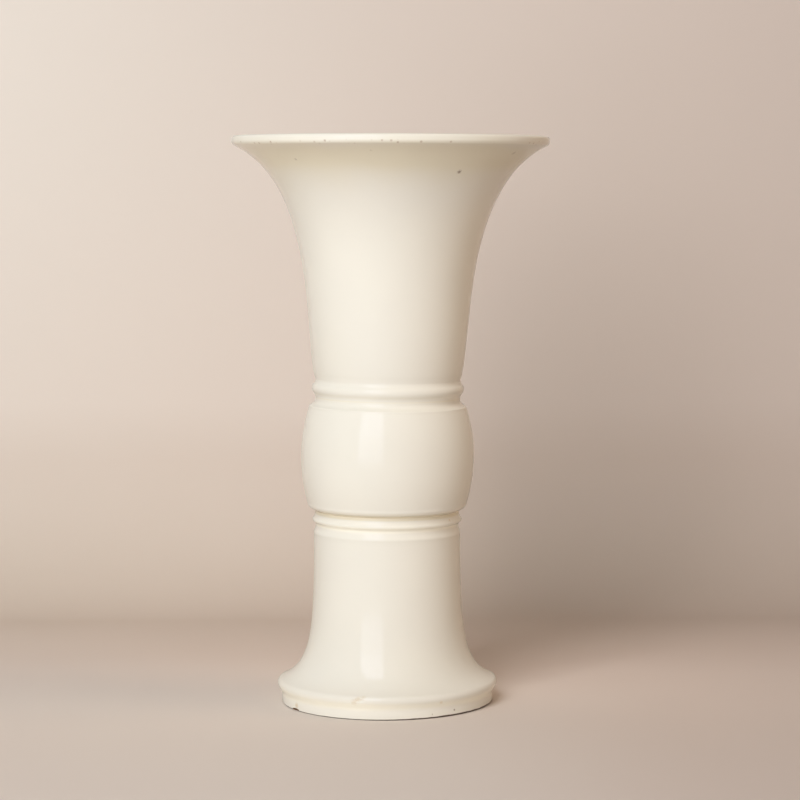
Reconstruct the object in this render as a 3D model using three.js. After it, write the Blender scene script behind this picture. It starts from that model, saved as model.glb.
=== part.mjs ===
// A cream porcelain beaker vase of the gu form: a trumpet neck, a barrel belly and a spreading foot, thrown
// as three sections and luted together with slip in the turned grooves. A separate floor closes the foot.
// Millimetres, +Z up. The origin is the middle of the circle that the vase stands on.
import * as THREE from "three";

// Heights of the sections, between the faces that are luted.
const FOOT_HEIGHT = 86;
const BELLY_HEIGHT = 49.8;
const NECK_HEIGHT = 116.8;
const SEAM_THICKNESS = 0.8;

// Inside of the joints, and the clearance kept between pieces that don't share a flat face.
const BORE_RADIUS = 26;
const FIT_CLEARANCE = 0.3;
const SEAM_RECESS = 0.4;
const SEAM_BEAD_ROUND = 1.1;

// Standing band and rounded nose of the foot, with a cove between them.
const BAND_RADIUS = 47.6;
const BAND_HEIGHT = 3.1;
const BAND_BEVEL = 0.8;
const BAND_LEAN = THREE.MathUtils.degToRad(20);
const STANDING_WIDTH = 6.6;
const COVE_PULL = 2.2;
const NOSE_RADIUS = 49.5;
const NOSE_ROUND = 2.2;
const NOSE_UNDER_ROUND = 3;
const NOSE_LEVEL = 8.75;
const NOSE_TUCK_ANGLE = THREE.MathUtils.degToRad(40);

// Flare and shaft of the foot.
const FLARE_SLOPE = THREE.MathUtils.degToRad(23);
const FLARE_PULL = 16;
const SHAFT_RADIUS = 33.15;
const SHAFT_PULL = 41;
const SHAFT_EDGE_ROUND = 2.5;
const SHAFT_EDGE_TURN = THREE.MathUtils.degToRad(25);

// Ridge turned on the foot, under the belly, with its heights over the groove below and under the one above.
const LOWER_GROOVE_RADIUS = 32.5;
const LOWER_RIDGE_RADIUS = 33.65;
const LOWER_RIDGE_ROUND = 1.1;
const LOWER_RIDGE_BELOW = 2.45;
const LOWER_RIDGE_ABOVE = 3.25;
const SHAFT_GROOVE_RADIUS = 32.25;
const SHAFT_SHOULDER = 3.6;

// Belly: a barrel with a sloping underside, and a short collar above its upper edge.
const BELLY_RADIUS = 39;
const BELLY_LOWER_RADIUS = 35.95;
const BELLY_UPPER_RADIUS = 35.45;
const BELLY_TUCK = 2.4;
const BELLY_TUCK_TURN = THREE.MathUtils.degToRad(60);
const BELLY_UNDERSIDE = 2.25;
const BELLY_EDGE_ROUND = 1;
const BELLY_EDGE_TURN = THREE.MathUtils.degToRad(60);
const BELLY_WALL = 6.35;
const COLLAR_HEIGHT = 2.4;
const COLLAR_SPREAD = 1;

// Ridge turned on the neck, above the belly, in the same terms.
const UPPER_GROOVE_RADIUS = 32.55;
const UPPER_RIDGE_RADIUS = 34.2;
const UPPER_RIDGE_ROUND = 3;
const UPPER_RIDGE_BELOW = 4.3;
const UPPER_RIDGE_ABOVE = 4.2;
const NECK_GROOVE_RADIUS = 32.6;

// Trumpet of the neck and its upright lip.
const NECK_RADIUS = 33.35;
const NECK_SHOULDER = 2.2;
const NECK_SLOPE = THREE.MathUtils.degToRad(10.4);
const NECK_PULL = 22.7;
const LIP_RADIUS = 71;
const LIP_ROUND = 1.5;
const LIP_FACE = 0.3;
const LIP_UNDER_ROUND = 2.2;
const LIP_SLOPE = THREE.MathUtils.degToRad(64.2);
const LIP_PULL = 39.8;

// Floor of the vase, set up against a shoulder in the foot, and the slip fillet under it.
const FLOOR_LEVEL = 16;
const FLOOR_THICKNESS = 7;
const FLOOR_DISH = 0.8;
const FLOOR_OPENING_RADIUS = 32.5;
const RECESS_RADIUS = 37.3;
const HOLLOW_FLARE_HEIGHT = 20;
const FILLET_WIDTH = 2.4;
const FILLET_HEIGHT = 2;

// How finely the round stretches are drawn.
const SPIN_STEPS = 40;
const LONG_CURVE_STEPS = 12;
const SHORT_CURVE_STEPS = 4;

// Levels of the luted faces, from the standing plane up.
const FOOT_TOP = FOOT_HEIGHT;
const BELLY_BOTTOM = FOOT_TOP + SEAM_THICKNESS;
const BELLY_TOP = BELLY_BOTTOM + BELLY_HEIGHT;
const NECK_BOTTOM = BELLY_TOP + SEAM_THICKNESS;
const RIM = NECK_BOTTOM + NECK_HEIGHT;

const HALF_TURN = Math.PI;
const QUARTER_TURN = Math.PI / 2;

const porcelain = { color: 0xece5d2, roughness: 0.22, metalness: 0 };
const slip = { color: 0xe4dac4, roughness: 0.75, metalness: 0 };

// A point of a profile: its radius from the axis and its level.
const at = (radius, level) => new THREE.Vector2(radius, level);

// Points along an arc about a centre; angles are measured from the outward direction, upwards positive.
function arc(centre, radius, from, to, steps = SHORT_CURVE_STEPS) {
  const points = [];
  for (let i = 0; i <= steps; i++) {
    const angle = from + ((to - from) * i) / steps;
    points.push(at(centre.x + radius * Math.cos(angle), centre.y + radius * Math.sin(angle)));
  }
  return points;
}

// Points along an arc from an end to a crest, where the arc stands upright.
function swell(end, crest) {
  const drop = crest.y - end.y;
  const rise = crest.x - end.x;
  const radius = (drop * drop + rise * rise) / (2 * rise);
  const reach = Math.asin(drop / radius);
  return arc(at(crest.x - radius, crest.y), radius, -reach, 0, LONG_CURVE_STEPS / 2);
}

// A wall that bulges from one end to a crest radius, halfway, and back in to another end.
function bulge(from, crestRadius, to) {
  const crest = at(crestRadius, (from.y + to.y) / 2);
  return [...swell(from, crest), ...swell(to, crest).reverse().slice(1)];
}

// One flank of a turned ridge: out of the hollow of a groove below or above it, and over to the crest.
function flank(groove, crest, crestRound) {
  const drop = crest.y - groove.y;
  const rise = crest.x - groove.x;
  const bothRounds = (drop * drop + rise * rise) / (2 * rise);
  const grooveRound = bothRounds - crestRound;
  const reach = Math.asin(drop / bothRounds);
  return [
    ...arc(at(groove.x + grooveRound, groove.y), grooveRound, HALF_TURN, HALF_TURN - reach),
    ...arc(at(crest.x - crestRound, crest.y), crestRound, -reach, 0).slice(1),
  ];
}

// A turned ridge: a flank up from the groove below it to its crest, and one on to the groove above it.
function ridge(grooveBelow, crest, crestRound, grooveAbove) {
  const below = flank(grooveBelow, crest, crestRound);
  const above = flank(grooveAbove, crest, crestRound).reverse();
  return [...below, ...above.slice(1)];
}

// A cubic curve that leaves one point along a direction and arrives at another along a second direction.
function sweep(from, leaving, leavingPull, to, arriving, arrivingPull) {
  return new THREE.CubicBezierCurve(
    from,
    from.clone().addScaledVector(leaving, leavingPull),
    to.clone().addScaledVector(arriving, -arrivingPull),
    to,
  );
}

// The inner face of a wall that follows an outer curve, with a thickness at each end of it.
function innerFace(curve, startWall, endWall) {
  const points = [];
  for (let i = 0; i <= LONG_CURVE_STEPS; i++) {
    const t = i / LONG_CURVE_STEPS;
    const along = curve.getTangent(t);
    const wall = THREE.MathUtils.lerp(startWall, endWall, t);
    points.push(curve.getPoint(t).add(at(-along.y, along.x).multiplyScalar(wall)));
  }
  return points;
}

// A named piece, spun from a profile that runs up its outside and down its inside, or from axis to axis.
function spun(name, profile, finish) {
  const outline = profile[0].x > 0 ? [...profile, profile[0].clone()] : profile;
  const geometry = new THREE.LatheGeometry(outline, SPIN_STEPS).rotateX(QUARTER_TURN);
  const mesh = new THREE.Mesh(geometry, new THREE.MeshStandardMaterial(finish));
  mesh.name = name;
  return mesh;
}

// A luting seam: slip between two flat faces, set back in its groove, with a low bead squeezed out inside.
function lutingSeam(name, bottom, grooveRadius) {
  const top = bottom + SEAM_THICKNESS;
  const outer = grooveRadius - SEAM_RECESS;
  const inner = BORE_RADIUS - FIT_CLEARANCE;
  const middle = at(inner, (bottom + top) / 2);
  return spun(
    name,
    [
      at(outer, bottom),
      at(outer, top),
      at(inner, top),
      ...arc(middle, SEAM_BEAD_ROUND, QUARTER_TURN, 3 * QUARTER_TURN),
      at(inner, bottom),
    ],
    slip,
  );
}

function footSection() {
  const noseUnder = at(NOSE_RADIUS - NOSE_UNDER_ROUND, NOSE_LEVEL);
  const noseOver = at(NOSE_RADIUS - NOSE_ROUND, NOSE_LEVEL);
  const noseArc = [
    ...arc(noseUnder, NOSE_UNDER_ROUND, -NOSE_TUCK_ANGLE, 0),
    ...arc(noseOver, NOSE_ROUND, 0, QUARTER_TURN - FLARE_SLOPE).slice(1),
  ];
  const cove = sweep(
    at(BAND_RADIUS, BAND_HEIGHT),
    at(-Math.sin(BAND_LEAN), Math.cos(BAND_LEAN)),
    COVE_PULL,
    noseArc[0],
    at(Math.sin(NOSE_TUCK_ANGLE), Math.cos(NOSE_TUCK_ANGLE)),
    COVE_PULL,
  );
  const crest = at(LOWER_RIDGE_RADIUS, FOOT_TOP - LOWER_RIDGE_ABOVE);
  const shaftGroove = at(SHAFT_GROOVE_RADIUS, crest.y - LOWER_RIDGE_BELOW);
  const jointGroove = at(LOWER_GROOVE_RADIUS, FOOT_TOP);
  const edge = at(SHAFT_RADIUS - SHAFT_EDGE_ROUND, shaftGroove.y - SHAFT_SHOULDER);
  const edgeArc = arc(edge, SHAFT_EDGE_ROUND, -SHAFT_EDGE_TURN, SHAFT_EDGE_TURN);
  const flare = sweep(
    noseArc[noseArc.length - 1],
    at(-Math.cos(FLARE_SLOPE), Math.sin(FLARE_SLOPE)),
    FLARE_PULL,
    edgeArc[0],
    at(0, 1),
    SHAFT_PULL,
  );
  const hollow = sweep(
    at(BORE_RADIUS, FLOOR_LEVEL + HOLLOW_FLARE_HEIGHT),
    at(0, -1),
    HOLLOW_FLARE_HEIGHT / 2,
    at(FLOOR_OPENING_RADIUS, FLOOR_LEVEL),
    at(Math.SQRT1_2, -Math.SQRT1_2),
    HOLLOW_FLARE_HEIGHT / 4,
  );
  const standingInner = BAND_RADIUS - BAND_BEVEL - STANDING_WIDTH;
  return spun(
    "foot_section",
    [
      at(standingInner, 0),
      at(BAND_RADIUS - BAND_BEVEL, 0),
      at(BAND_RADIUS, BAND_BEVEL),
      ...cove.getPoints(SHORT_CURVE_STEPS),
      ...noseArc.slice(1),
      ...flare.getPoints(LONG_CURVE_STEPS).slice(1),
      ...edgeArc.slice(1),
      ...ridge(shaftGroove, crest, LOWER_RIDGE_ROUND, jointGroove),
      at(BORE_RADIUS, FOOT_TOP),
      ...hollow.getPoints(SHORT_CURVE_STEPS),
      at(RECESS_RADIUS, FLOOR_LEVEL),
      at(RECESS_RADIUS, FLOOR_LEVEL - FLOOR_THICKNESS - FILLET_HEIGHT),
    ],
    porcelain,
  );
}

function bellySection() {
  const rise = BELLY_UNDERSIDE / Math.tan(BELLY_TUCK_TURN);
  const tuckLevel = BELLY_BOTTOM + rise + BELLY_TUCK * Math.sin(BELLY_TUCK_TURN);
  const tuckArc = arc(at(BELLY_LOWER_RADIUS - BELLY_TUCK, tuckLevel), BELLY_TUCK, -BELLY_TUCK_TURN, 0);
  const edgeLevel = BELLY_TOP - COLLAR_HEIGHT - BELLY_EDGE_ROUND;
  const edge = at(BELLY_UPPER_RADIUS - BELLY_EDGE_ROUND, edgeLevel);
  const edgeArc = arc(edge, BELLY_EDGE_ROUND, 0, BELLY_EDGE_TURN);
  const collar = sweep(
    edgeArc[edgeArc.length - 1],
    at(-Math.sin(BELLY_EDGE_TURN), Math.cos(BELLY_EDGE_TURN)),
    COLLAR_SPREAD,
    at(UPPER_GROOVE_RADIUS, BELLY_TOP),
    at(0, 1),
    COLLAR_HEIGHT / 2,
  );
  return spun(
    "belly_section",
    [
      at(tuckArc[0].x - BELLY_UNDERSIDE, BELLY_BOTTOM),
      ...tuckArc,
      ...bulge(tuckArc[tuckArc.length - 1], BELLY_RADIUS, edgeArc[0]).slice(1),
      ...edgeArc.slice(1),
      ...collar.getPoints(SHORT_CURVE_STEPS).slice(1),
      ...bulge(at(BORE_RADIUS, BELLY_TOP), BELLY_RADIUS - BELLY_WALL, at(BORE_RADIUS, BELLY_BOTTOM)),
    ],
    porcelain,
  );
}

function neckSection() {
  const crest = at(UPPER_RIDGE_RADIUS, NECK_BOTTOM + UPPER_RIDGE_BELOW);
  const jointGroove = at(UPPER_GROOVE_RADIUS, NECK_BOTTOM);
  const neckGroove = at(NECK_GROOVE_RADIUS, crest.y + UPPER_RIDGE_ABOVE);
  const neckFoot = at(NECK_RADIUS, neckGroove.y + NECK_SHOULDER);
  const lip = at(LIP_RADIUS - LIP_ROUND, RIM - LIP_ROUND);
  const under = at(LIP_RADIUS - LIP_UNDER_ROUND, lip.y - LIP_FACE);
  const across = at(-Math.cos(LIP_SLOPE), Math.sin(LIP_SLOPE));
  const lipWall = LIP_ROUND + LIP_UNDER_ROUND + lip.clone().sub(under).dot(across);
  const lipArc = [
    ...arc(under, LIP_UNDER_ROUND, -LIP_SLOPE, 0),
    ...arc(lip, LIP_ROUND, 0, QUARTER_TURN),
    lip.clone().addScaledVector(across, LIP_ROUND),
  ];
  const trumpet = sweep(
    neckFoot,
    at(Math.sin(NECK_SLOPE), Math.cos(NECK_SLOPE)),
    NECK_PULL,
    lipArc[0],
    at(Math.sin(LIP_SLOPE), Math.cos(LIP_SLOPE)),
    LIP_PULL,
  );
  const inside = innerFace(trumpet, NECK_RADIUS - BORE_RADIUS, lipWall).reverse();
  return spun(
    "neck_section",
    [
      ...ridge(jointGroove, crest, UPPER_RIDGE_ROUND, neckGroove),
      ...trumpet.getPoints(LONG_CURVE_STEPS),
      ...lipArc.slice(1),
      ...inside.slice(1),
      at(BORE_RADIUS, NECK_BOTTOM),
    ],
    porcelain,
  );
}

// The floor: a disc that meets the foot's shoulder with its upper face, a little dished inside the vase.
function baseDisc() {
  const radius = RECESS_RADIUS - FIT_CLEARANCE;
  const bottom = FLOOR_LEVEL - FLOOR_THICKNESS;
  return spun(
    "base_disc",
    [
      at(0, bottom),
      at(radius, bottom),
      at(radius, FLOOR_LEVEL),
      at(FLOOR_OPENING_RADIUS, FLOOR_LEVEL),
      at(0, FLOOR_LEVEL - FLOOR_DISH),
    ],
    porcelain,
  );
}

// A fillet of slip in the corner between the floor's underside and the wall of the recess.
function baseLutingSeam() {
  const outer = RECESS_RADIUS - FIT_CLEARANCE;
  const top = FLOOR_LEVEL - FLOOR_THICKNESS;
  const hollow = sweep(
    at(outer, top - FILLET_HEIGHT),
    at(0, 1),
    FILLET_HEIGHT / 2,
    at(outer - FILLET_WIDTH, top),
    at(-1, 0),
    FILLET_WIDTH / 2,
  );
  return spun(
    "base_luting_seam",
    [at(outer, top), ...hollow.getPoints(SHORT_CURVE_STEPS).reverse()],
    slip,
  );
}

const body = new THREE.Group();
body.add(
  footSection(),
  lutingSeam("lower_luting_seam", FOOT_TOP, LOWER_GROOVE_RADIUS),
  bellySection(),
  lutingSeam("upper_luting_seam", BELLY_TOP, UPPER_GROOVE_RADIUS),
  neckSection(),
);

const base = new THREE.Group();
base.add(baseDisc(), baseLutingSeam());

const vase = new THREE.Group();
vase.add(body, base);

export default vase;
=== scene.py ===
"""A cream porcelain beaker vase of the gu form, thrown, luted and glazed piece by piece, in a small studio.

Metres, +Z up. The origin is the middle of the circle that the vase stands on. The levels of the luted
faces and the widest radii come from the parts in model.glb; the other sizes are the vase's own.
"""

import math
from collections import namedtuple

import bmesh
import bpy
from bpy.props import FloatProperty, FloatVectorProperty, PointerProperty
from bpy.types import Operator, Panel, PropertyGroup
from mathutils import Matrix, Vector
from mathutils.geometry import interpolate_bezier


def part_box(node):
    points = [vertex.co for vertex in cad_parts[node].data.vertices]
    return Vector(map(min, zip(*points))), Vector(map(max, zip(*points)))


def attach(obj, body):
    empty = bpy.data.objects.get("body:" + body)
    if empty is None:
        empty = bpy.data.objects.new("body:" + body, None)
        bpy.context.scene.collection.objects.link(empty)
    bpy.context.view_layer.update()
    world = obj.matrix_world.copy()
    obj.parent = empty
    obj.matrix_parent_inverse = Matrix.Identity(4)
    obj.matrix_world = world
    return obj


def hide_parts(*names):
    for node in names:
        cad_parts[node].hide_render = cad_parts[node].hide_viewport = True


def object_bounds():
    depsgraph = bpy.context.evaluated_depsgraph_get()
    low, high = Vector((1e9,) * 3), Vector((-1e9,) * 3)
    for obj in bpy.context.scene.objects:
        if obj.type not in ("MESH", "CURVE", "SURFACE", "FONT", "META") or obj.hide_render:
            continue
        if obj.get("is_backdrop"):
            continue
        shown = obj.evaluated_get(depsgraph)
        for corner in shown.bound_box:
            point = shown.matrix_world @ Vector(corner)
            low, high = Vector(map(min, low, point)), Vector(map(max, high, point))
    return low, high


bl_info = {
    "name": "Porcelain Gu Vase",
    "version": (1, 0, 0),
    "blender": (4, 5, 0),
    "location": "3D View > Sidebar > Gu Vase",
    "description": "Throws, lutes and glazes a porcelain beaker vase and lights it in a small studio",
    "category": "Object",
}

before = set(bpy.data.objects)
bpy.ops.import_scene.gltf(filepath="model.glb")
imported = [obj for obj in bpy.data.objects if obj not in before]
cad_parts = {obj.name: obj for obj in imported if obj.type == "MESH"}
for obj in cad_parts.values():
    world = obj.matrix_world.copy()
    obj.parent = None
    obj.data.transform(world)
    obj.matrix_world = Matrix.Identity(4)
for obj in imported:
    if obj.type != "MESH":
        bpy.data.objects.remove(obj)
CAD_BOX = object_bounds()

FOOT_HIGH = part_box("foot_section")[1]
BELLY_LOW, BELLY_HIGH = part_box("belly_section")
NECK_LOW, NECK_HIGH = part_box("neck_section")
DISC_LOW, DISC_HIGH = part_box("base_disc")

# How finely the round stretches are drawn.
SPIN_STEPS = 288
LONG_STEPS = 56
ROUND_STEPS = 10
LIP_STEPS = 26
MERGE_DISTANCE = 1e-6
SMOOTH_ANGLE = math.radians(38)

FULL_TURN = 2 * math.pi
HALF_TURN = math.pi
QUARTER_TURN = math.pi / 2


# Settings that a user would change

def length(label, metres, description):
    return FloatProperty(
        name=label, description=description, default=metres, min=0, precision=5,
        subtype="DISTANCE", unit="LENGTH",
    )


def angle(label, degrees, description):
    return FloatProperty(
        name=label, description=description, default=math.radians(degrees),
        subtype="ANGLE", unit="ROTATION",
    )


def colour(label, rgb, description):
    return FloatVectorProperty(
        name=label, description=description, default=rgb, size=3, min=0, max=1, subtype="COLOR",
    )


def power(label, watts, description):
    return FloatProperty(name=label, description=description, default=watts, min=0, unit="POWER")


class JointSizes(PropertyGroup):
    """The luted joints, and how far the sections stand out of true on each other."""
    bore_radius: length("Bore radius", 0.026, "Inside radius of the sections at their luted faces")
    bead_round: length("Bead round", 0.0011, "Round of the slip bead squeezed out inside a joint")
    lower_lean: angle("Lower lean", 0.45, "Lean of the lower joint to the right")
    upper_lean: angle("Upper lean", 0.9, "Lean of the upper joint, and of the neck on it, to the right")
    rim_lean: angle("Rim lean", 0.4, "Lean of the rim to the right")


class FootSizes(PropertyGroup):
    """The spreading foot, from the standing ring to the lower ridge."""
    band_radius: length("Band radius", 0.0476, "Radius of the straight standing band")
    band_height: length("Band height", 0.0033, "Height of the straight part of the band")
    band_lean: angle("Band lean", 2, "How far the band leans in over its straight part")
    cove_pull: length("Cove pull", 0.0019, "How long band and nose keep their lean in the cove")
    band_round: length("Band round", 0.0008, "Round of the band's lower edge")
    standing_width: length("Standing width", 0.0066, "Width of the flat ring that the vase stands on")
    nose_radius: length("Nose radius", FOOT_HIGH.x, "Radius of the rounded nose over the band")
    nose_round: length("Nose round", 0.0022, "Round of the upper half of the nose")
    nose_under_round: length("Nose under round", 0.003, "Round of the lower half of the nose")
    nose_level: length("Nose level", 0.00875, "Level of the middle of the nose")
    nose_tuck: angle("Nose tuck", 27, "How far the nose turns in underneath")
    flare_slope: angle("Flare slope", 23, "Slope of the flare where it leaves the nose")
    flare_pull: length("Flare pull", 0.016, "How long the flare keeps that slope")
    shaft_radius: length("Shaft radius", 0.03315, "Radius of the rolled edge at the top of the shaft")
    shaft_pull: length("Shaft pull", 0.041, "How long the shaft stays upright")
    shaft_edge_round: length("Shaft edge round", 0.0025, "Round of that edge")
    shaft_edge_turn: angle("Shaft edge turn", 25, "How far that edge turns in above; half as far below")
    shaft_shoulder: length("Shaft shoulder", 0.0036, "Height from the shaft's edge to the groove above it")
    shoulder_pull: length("Shoulder pull", 0.001, "How long that edge and that groove keep their lean")
    shaft_groove_radius: length("Shaft groove radius", 0.03225, "Radius of that groove")
    ridge_radius: length("Ridge radius", 0.03365, "Radius of the turned ridge")
    ridge_round: length("Ridge round", 0.0011, "Round of the crest of the ridge")
    ridge_below: length("Ridge below", 0.00245, "Drop from the ridge to the groove below it")
    ridge_above: length("Ridge above", 0.00325, "Climb from the ridge to the groove above it")
    groove_radius: length("Groove radius", 0.0325, "Radius of the groove at the lower joint")


class BellySizes(PropertyGroup):
    """The barrel in the middle."""
    crest_radius: length("Crest radius", BELLY_HIGH.x, "Largest radius of the barrel")
    lower_radius: length("Lower radius", 0.03595, "Radius of the barrel at its lower edge")
    upper_radius: length("Upper radius", 0.03545, "Radius of the barrel at its upper edge")
    tuck: length("Tuck", 0.0024, "Round of the lower edge")
    tuck_turn: angle("Tuck turn", 60, "How far the lower edge turns in")
    underside: length("Underside", 0.00225, "Width of the sloping underside")
    edge_round: length("Edge round", 0.001, "Round of the upper edge")
    edge_turn: angle("Edge turn", 60, "How far the upper edge turns in")
    wall: length("Wall", 0.00635, "Thickness of the wall at the crest")
    collar_height: length("Collar height", 0.0024, "Height of the collar over the upper edge")
    collar_spread: length("Collar spread", 0.001, "How long the collar keeps the slope of that edge")


class NeckSizes(PropertyGroup):
    """The trumpet neck, from the upper ridge to the lip."""
    groove_radius: length("Groove radius", 0.03255, "Radius of the groove at the upper joint")
    ridge_radius: length("Ridge radius", 0.0342, "Radius of the turned ridge")
    ridge_round: length("Ridge round", 0.003, "Round of the crest of the ridge")
    ridge_below: length("Ridge below", 0.0043, "Drop from the ridge to the groove below it")
    ridge_above: length("Ridge above", 0.0042, "Climb from the ridge to the groove above it")
    neck_groove_radius: length("Neck groove radius", 0.0326, "Radius of that groove")
    foot_radius: length("Foot radius", 0.03335, "Radius of the neck where it starts")
    shoulder: length("Shoulder", 0.0022, "Height from the groove to the start of the neck")
    slope: angle("Slope", 10.4, "Lean of the wall where the neck starts")
    pull: length("Pull", 0.0227, "How long the neck keeps that lean")
    lip_radius: length("Lip radius", NECK_HIGH.x, "Radius of the lip")
    lip_round: length("Lip round", 0.0015, "Round of the lip's upper edge")
    lip_face: length("Lip face", 0.0008, "Height of the upright face of the lip")
    lip_under_round: length("Lip under round", 0.0022, "Round of the lip's lower edge")
    lip_slope: angle("Lip slope", 64.2, "Lean of the wall under the lip")
    lip_pull: length("Lip pull", 0.0398, "How long the wall keeps that lean")


class FloorSizes(PropertyGroup):
    """The floor of the vase and the slip fillet under it."""
    dish: length("Dish", 0.0008, "How far the floor is dished inside the vase")
    opening_radius: length("Opening radius", 0.0325, "Radius of the foot's hollow at the floor")
    recess_radius: length("Recess radius", 0.0373, "Radius of the recess under the floor")
    hollow_flare: length("Hollow flare", 0.02, "Height over which the hollow opens to the floor")
    fillet_width: length("Fillet width", 0.0024, "Width of the slip fillet under the floor")
    fillet_height: length("Fillet height", 0.002, "Height of the slip fillet under the floor")


class GlazeFinish(PropertyGroup):
    """Colours and gloss of the glaze, the bare body and the slip, with the colours of painted light and
    shade.
    """
    cream: colour("Cream", (0.837, 0.808, 0.724), "Glaze at its usual depth")
    # Tan glaze gathered in the grooves, also used as painted shade under the lip.
    pooled_and_painted_shade: colour("Pooled_and_painted_shade", (0.82, 0.765, 0.61), "Glaze pooled in a groove or under the lip")
    # Warm glaze gathered thick in a joint groove, made lighter than the cream as painted glow that stands
    # in for light through the porcelain.
    deep_and_glow: colour("Deep_and_glow", (0.97, 0.855, 0.67), "Glaze deep in a joint groove, lit through the body")
    # Painted glow: a pale colour that lightens hollows where shade falls, standing in for light through the
    # porcelain; a little of it also shows at random.
    painted_glow: colour("Painted_glow", (1, 0.97, 0.84), "Glaze run thin in a hollow, lit up by the pale body under it")
    speck: colour("Speck", (0.17, 0.1, 0.06), "Iron speck burnt through the glaze")
    stain: colour("Stain", (0.62, 0.46, 0.24), "Rusty stain round a nick or pinhole")
    biscuit: colour("Biscuit", (0.70, 0.60, 0.47), "Bare fired body of the standing ring")
    slip: colour("Slip", (0.74, 0.66, 0.51), "Fired slip of the joints")
    pin: colour("Pin", (0.36, 0.22, 0.12), "Pin specks along the lip")
    rust: colour("Rust", (0.21, 0.115, 0.055), "Old break of a chip")
    # Painted contact shadow along the standing edge, thickest on the shaded right, with some old grime.
    contact_shadow_and_dirt: colour("Contact_shadow_and_dirt", (0.1, 0.062, 0.04), "Old dirt along the standing edge")


class StudioSettings(PropertyGroup):
    """Camera, light and sweep."""
    camera_distance: length("Camera distance", 1.155, "From the vase's axis to the camera, along the floor")
    camera_height: length("Camera height", 0.232, "Height of the camera over the floor")
    camera_side: length("Camera side", 0.0064, "How far the camera stands to the right of the axis")
    camera_pitch: angle("Camera pitch", 4.74, "How far the camera looks down")
    camera_roll: angle("Camera roll", -0.27, "How far the camera is turned about its own line of sight")
    focal_length: FloatProperty(
        name="Focal length", description="Lens, in millimetres on a sensor 36 mm wide", default=116, min=1,
    )
    wall_distance: length("Wall distance", 0.292, "From the vase's axis back to the upright of the sweep")
    sweep_round: length("Sweep round", 0.078, "Round between floor and upright")
    sweep_colour: colour("Sweep colour", (0.69, 0.585, 0.52), "Backdrop, and the floor behind the vase")
    # Painted shade that darkens the corner between floor and backdrop.
    painted_corner_shade: colour("Corner colour", (0.56, 0.45, 0.375), "Dimmer corner between floor and backdrop")
    # Painted pool of light on the floor at the front left.
    painted_front_light: colour("Front colour", (0.75, 0.675, 0.615), "Brighter floor at the front left")
    key_power: power("Key power", 22.7, "Tall soft box at the front left")
    skirt_power: power("Skirt power", 3.45, "Weaker lower part of that box, down to the floor")
    fill_power: power("Fill power", 0.18, "Small warm panel at the right, which fills the shaded side")
    shadow_power: power("Shadow power", 0.04, "Small warm panel at the right, which softens the shadow")
    wash_power: power("Wash power", 0.45, "Small cool panel at the left, which washes the backdrop")
    air_strength: FloatProperty(
        name="Air strength", description="Faint light from all round", default=0.05, min=0,
    )


# Profiles, as points in the plane of X and Z

def at(radius, level):
    return Vector((radius, 0, level))


def leaning(turn):
    """The upward direction, leaned out by an angle."""
    return at(math.sin(turn), math.cos(turn))


def arc(centre, radius, start, end, steps=ROUND_STEPS):
    """Points along an arc; angles are measured from the outward direction, upwards positive."""
    turns = [start + (end - start) * i / steps for i in range(steps + 1)]
    return [centre + at(radius * math.cos(turn), radius * math.sin(turn)) for turn in turns]


def swell(end, crest):
    """Points along an arc from an end to a crest, where the arc stands upright."""
    drop = crest.z - end.z
    rise = crest.x - end.x
    radius = (drop * drop + rise * rise) / (2 * rise)
    reach = math.asin(drop / radius)
    return arc(at(crest.x - radius, crest.z), radius, -reach, 0, LONG_STEPS // 2)


def bulge(start, crest_radius, end):
    """A wall that bulges from one end to a crest radius, halfway, and back in to another end."""
    crest = at(crest_radius, (start.z + end.z) / 2)
    return [*swell(start, crest), *swell(end, crest)[-2::-1]]


def flank(groove, crest, crest_round):
    """One flank of a turned ridge: out of the hollow of a groove and over to the crest."""
    drop = crest.z - groove.z
    rise = crest.x - groove.x
    both_rounds = (drop * drop + rise * rise) / (2 * rise)
    groove_round = both_rounds - crest_round
    reach = math.asin(drop / both_rounds)
    return [
        *arc(groove + at(groove_round, 0), groove_round, HALF_TURN, HALF_TURN - reach),
        *arc(crest - at(crest_round, 0), crest_round, -reach, 0)[1:],
    ]


def ridge(groove_below, crest, crest_round, groove_above):
    """A turned ridge: a flank up from the groove below it, and one on to the groove above it."""
    below = flank(groove_below, crest, crest_round)
    above = flank(groove_above, crest, crest_round)
    return [*below, *above[-2::-1]]


def sweep(start, leaving, leaving_pull, end, arriving, arriving_pull, steps=LONG_STEPS):
    """A curve that leaves one point along a direction and arrives at another along a second."""
    return interpolate_bezier(
        start, start + leaving * leaving_pull, end - arriving * arriving_pull, end, steps + 1,
    )


def inner_face(outer, start_wall, end_wall):
    """The inner face of a wall that follows an outer curve, with a thickness at each end of it."""
    points = []
    for i, point in enumerate(outer):
        along = (outer[min(i + 1, len(outer) - 1)] - outer[max(i - 1, 0)]).normalized()
        wall = start_wall + (end_wall - start_wall) * i / (len(outer) - 1)
        points.append(point + at(-along.z, along.x) * wall)
    return points


def radius_at(profile, level):
    """Radius of a profile's outside at a level; the outside comes first in the profile."""
    for low, high in zip(profile, profile[1:]):
        if low.z <= level < high.z:
            return low.x + (high.x - low.x) * (level - low.z) / (high.z - low.z)
    raise ValueError(f"the profile has no outside at level {level}")


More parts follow.
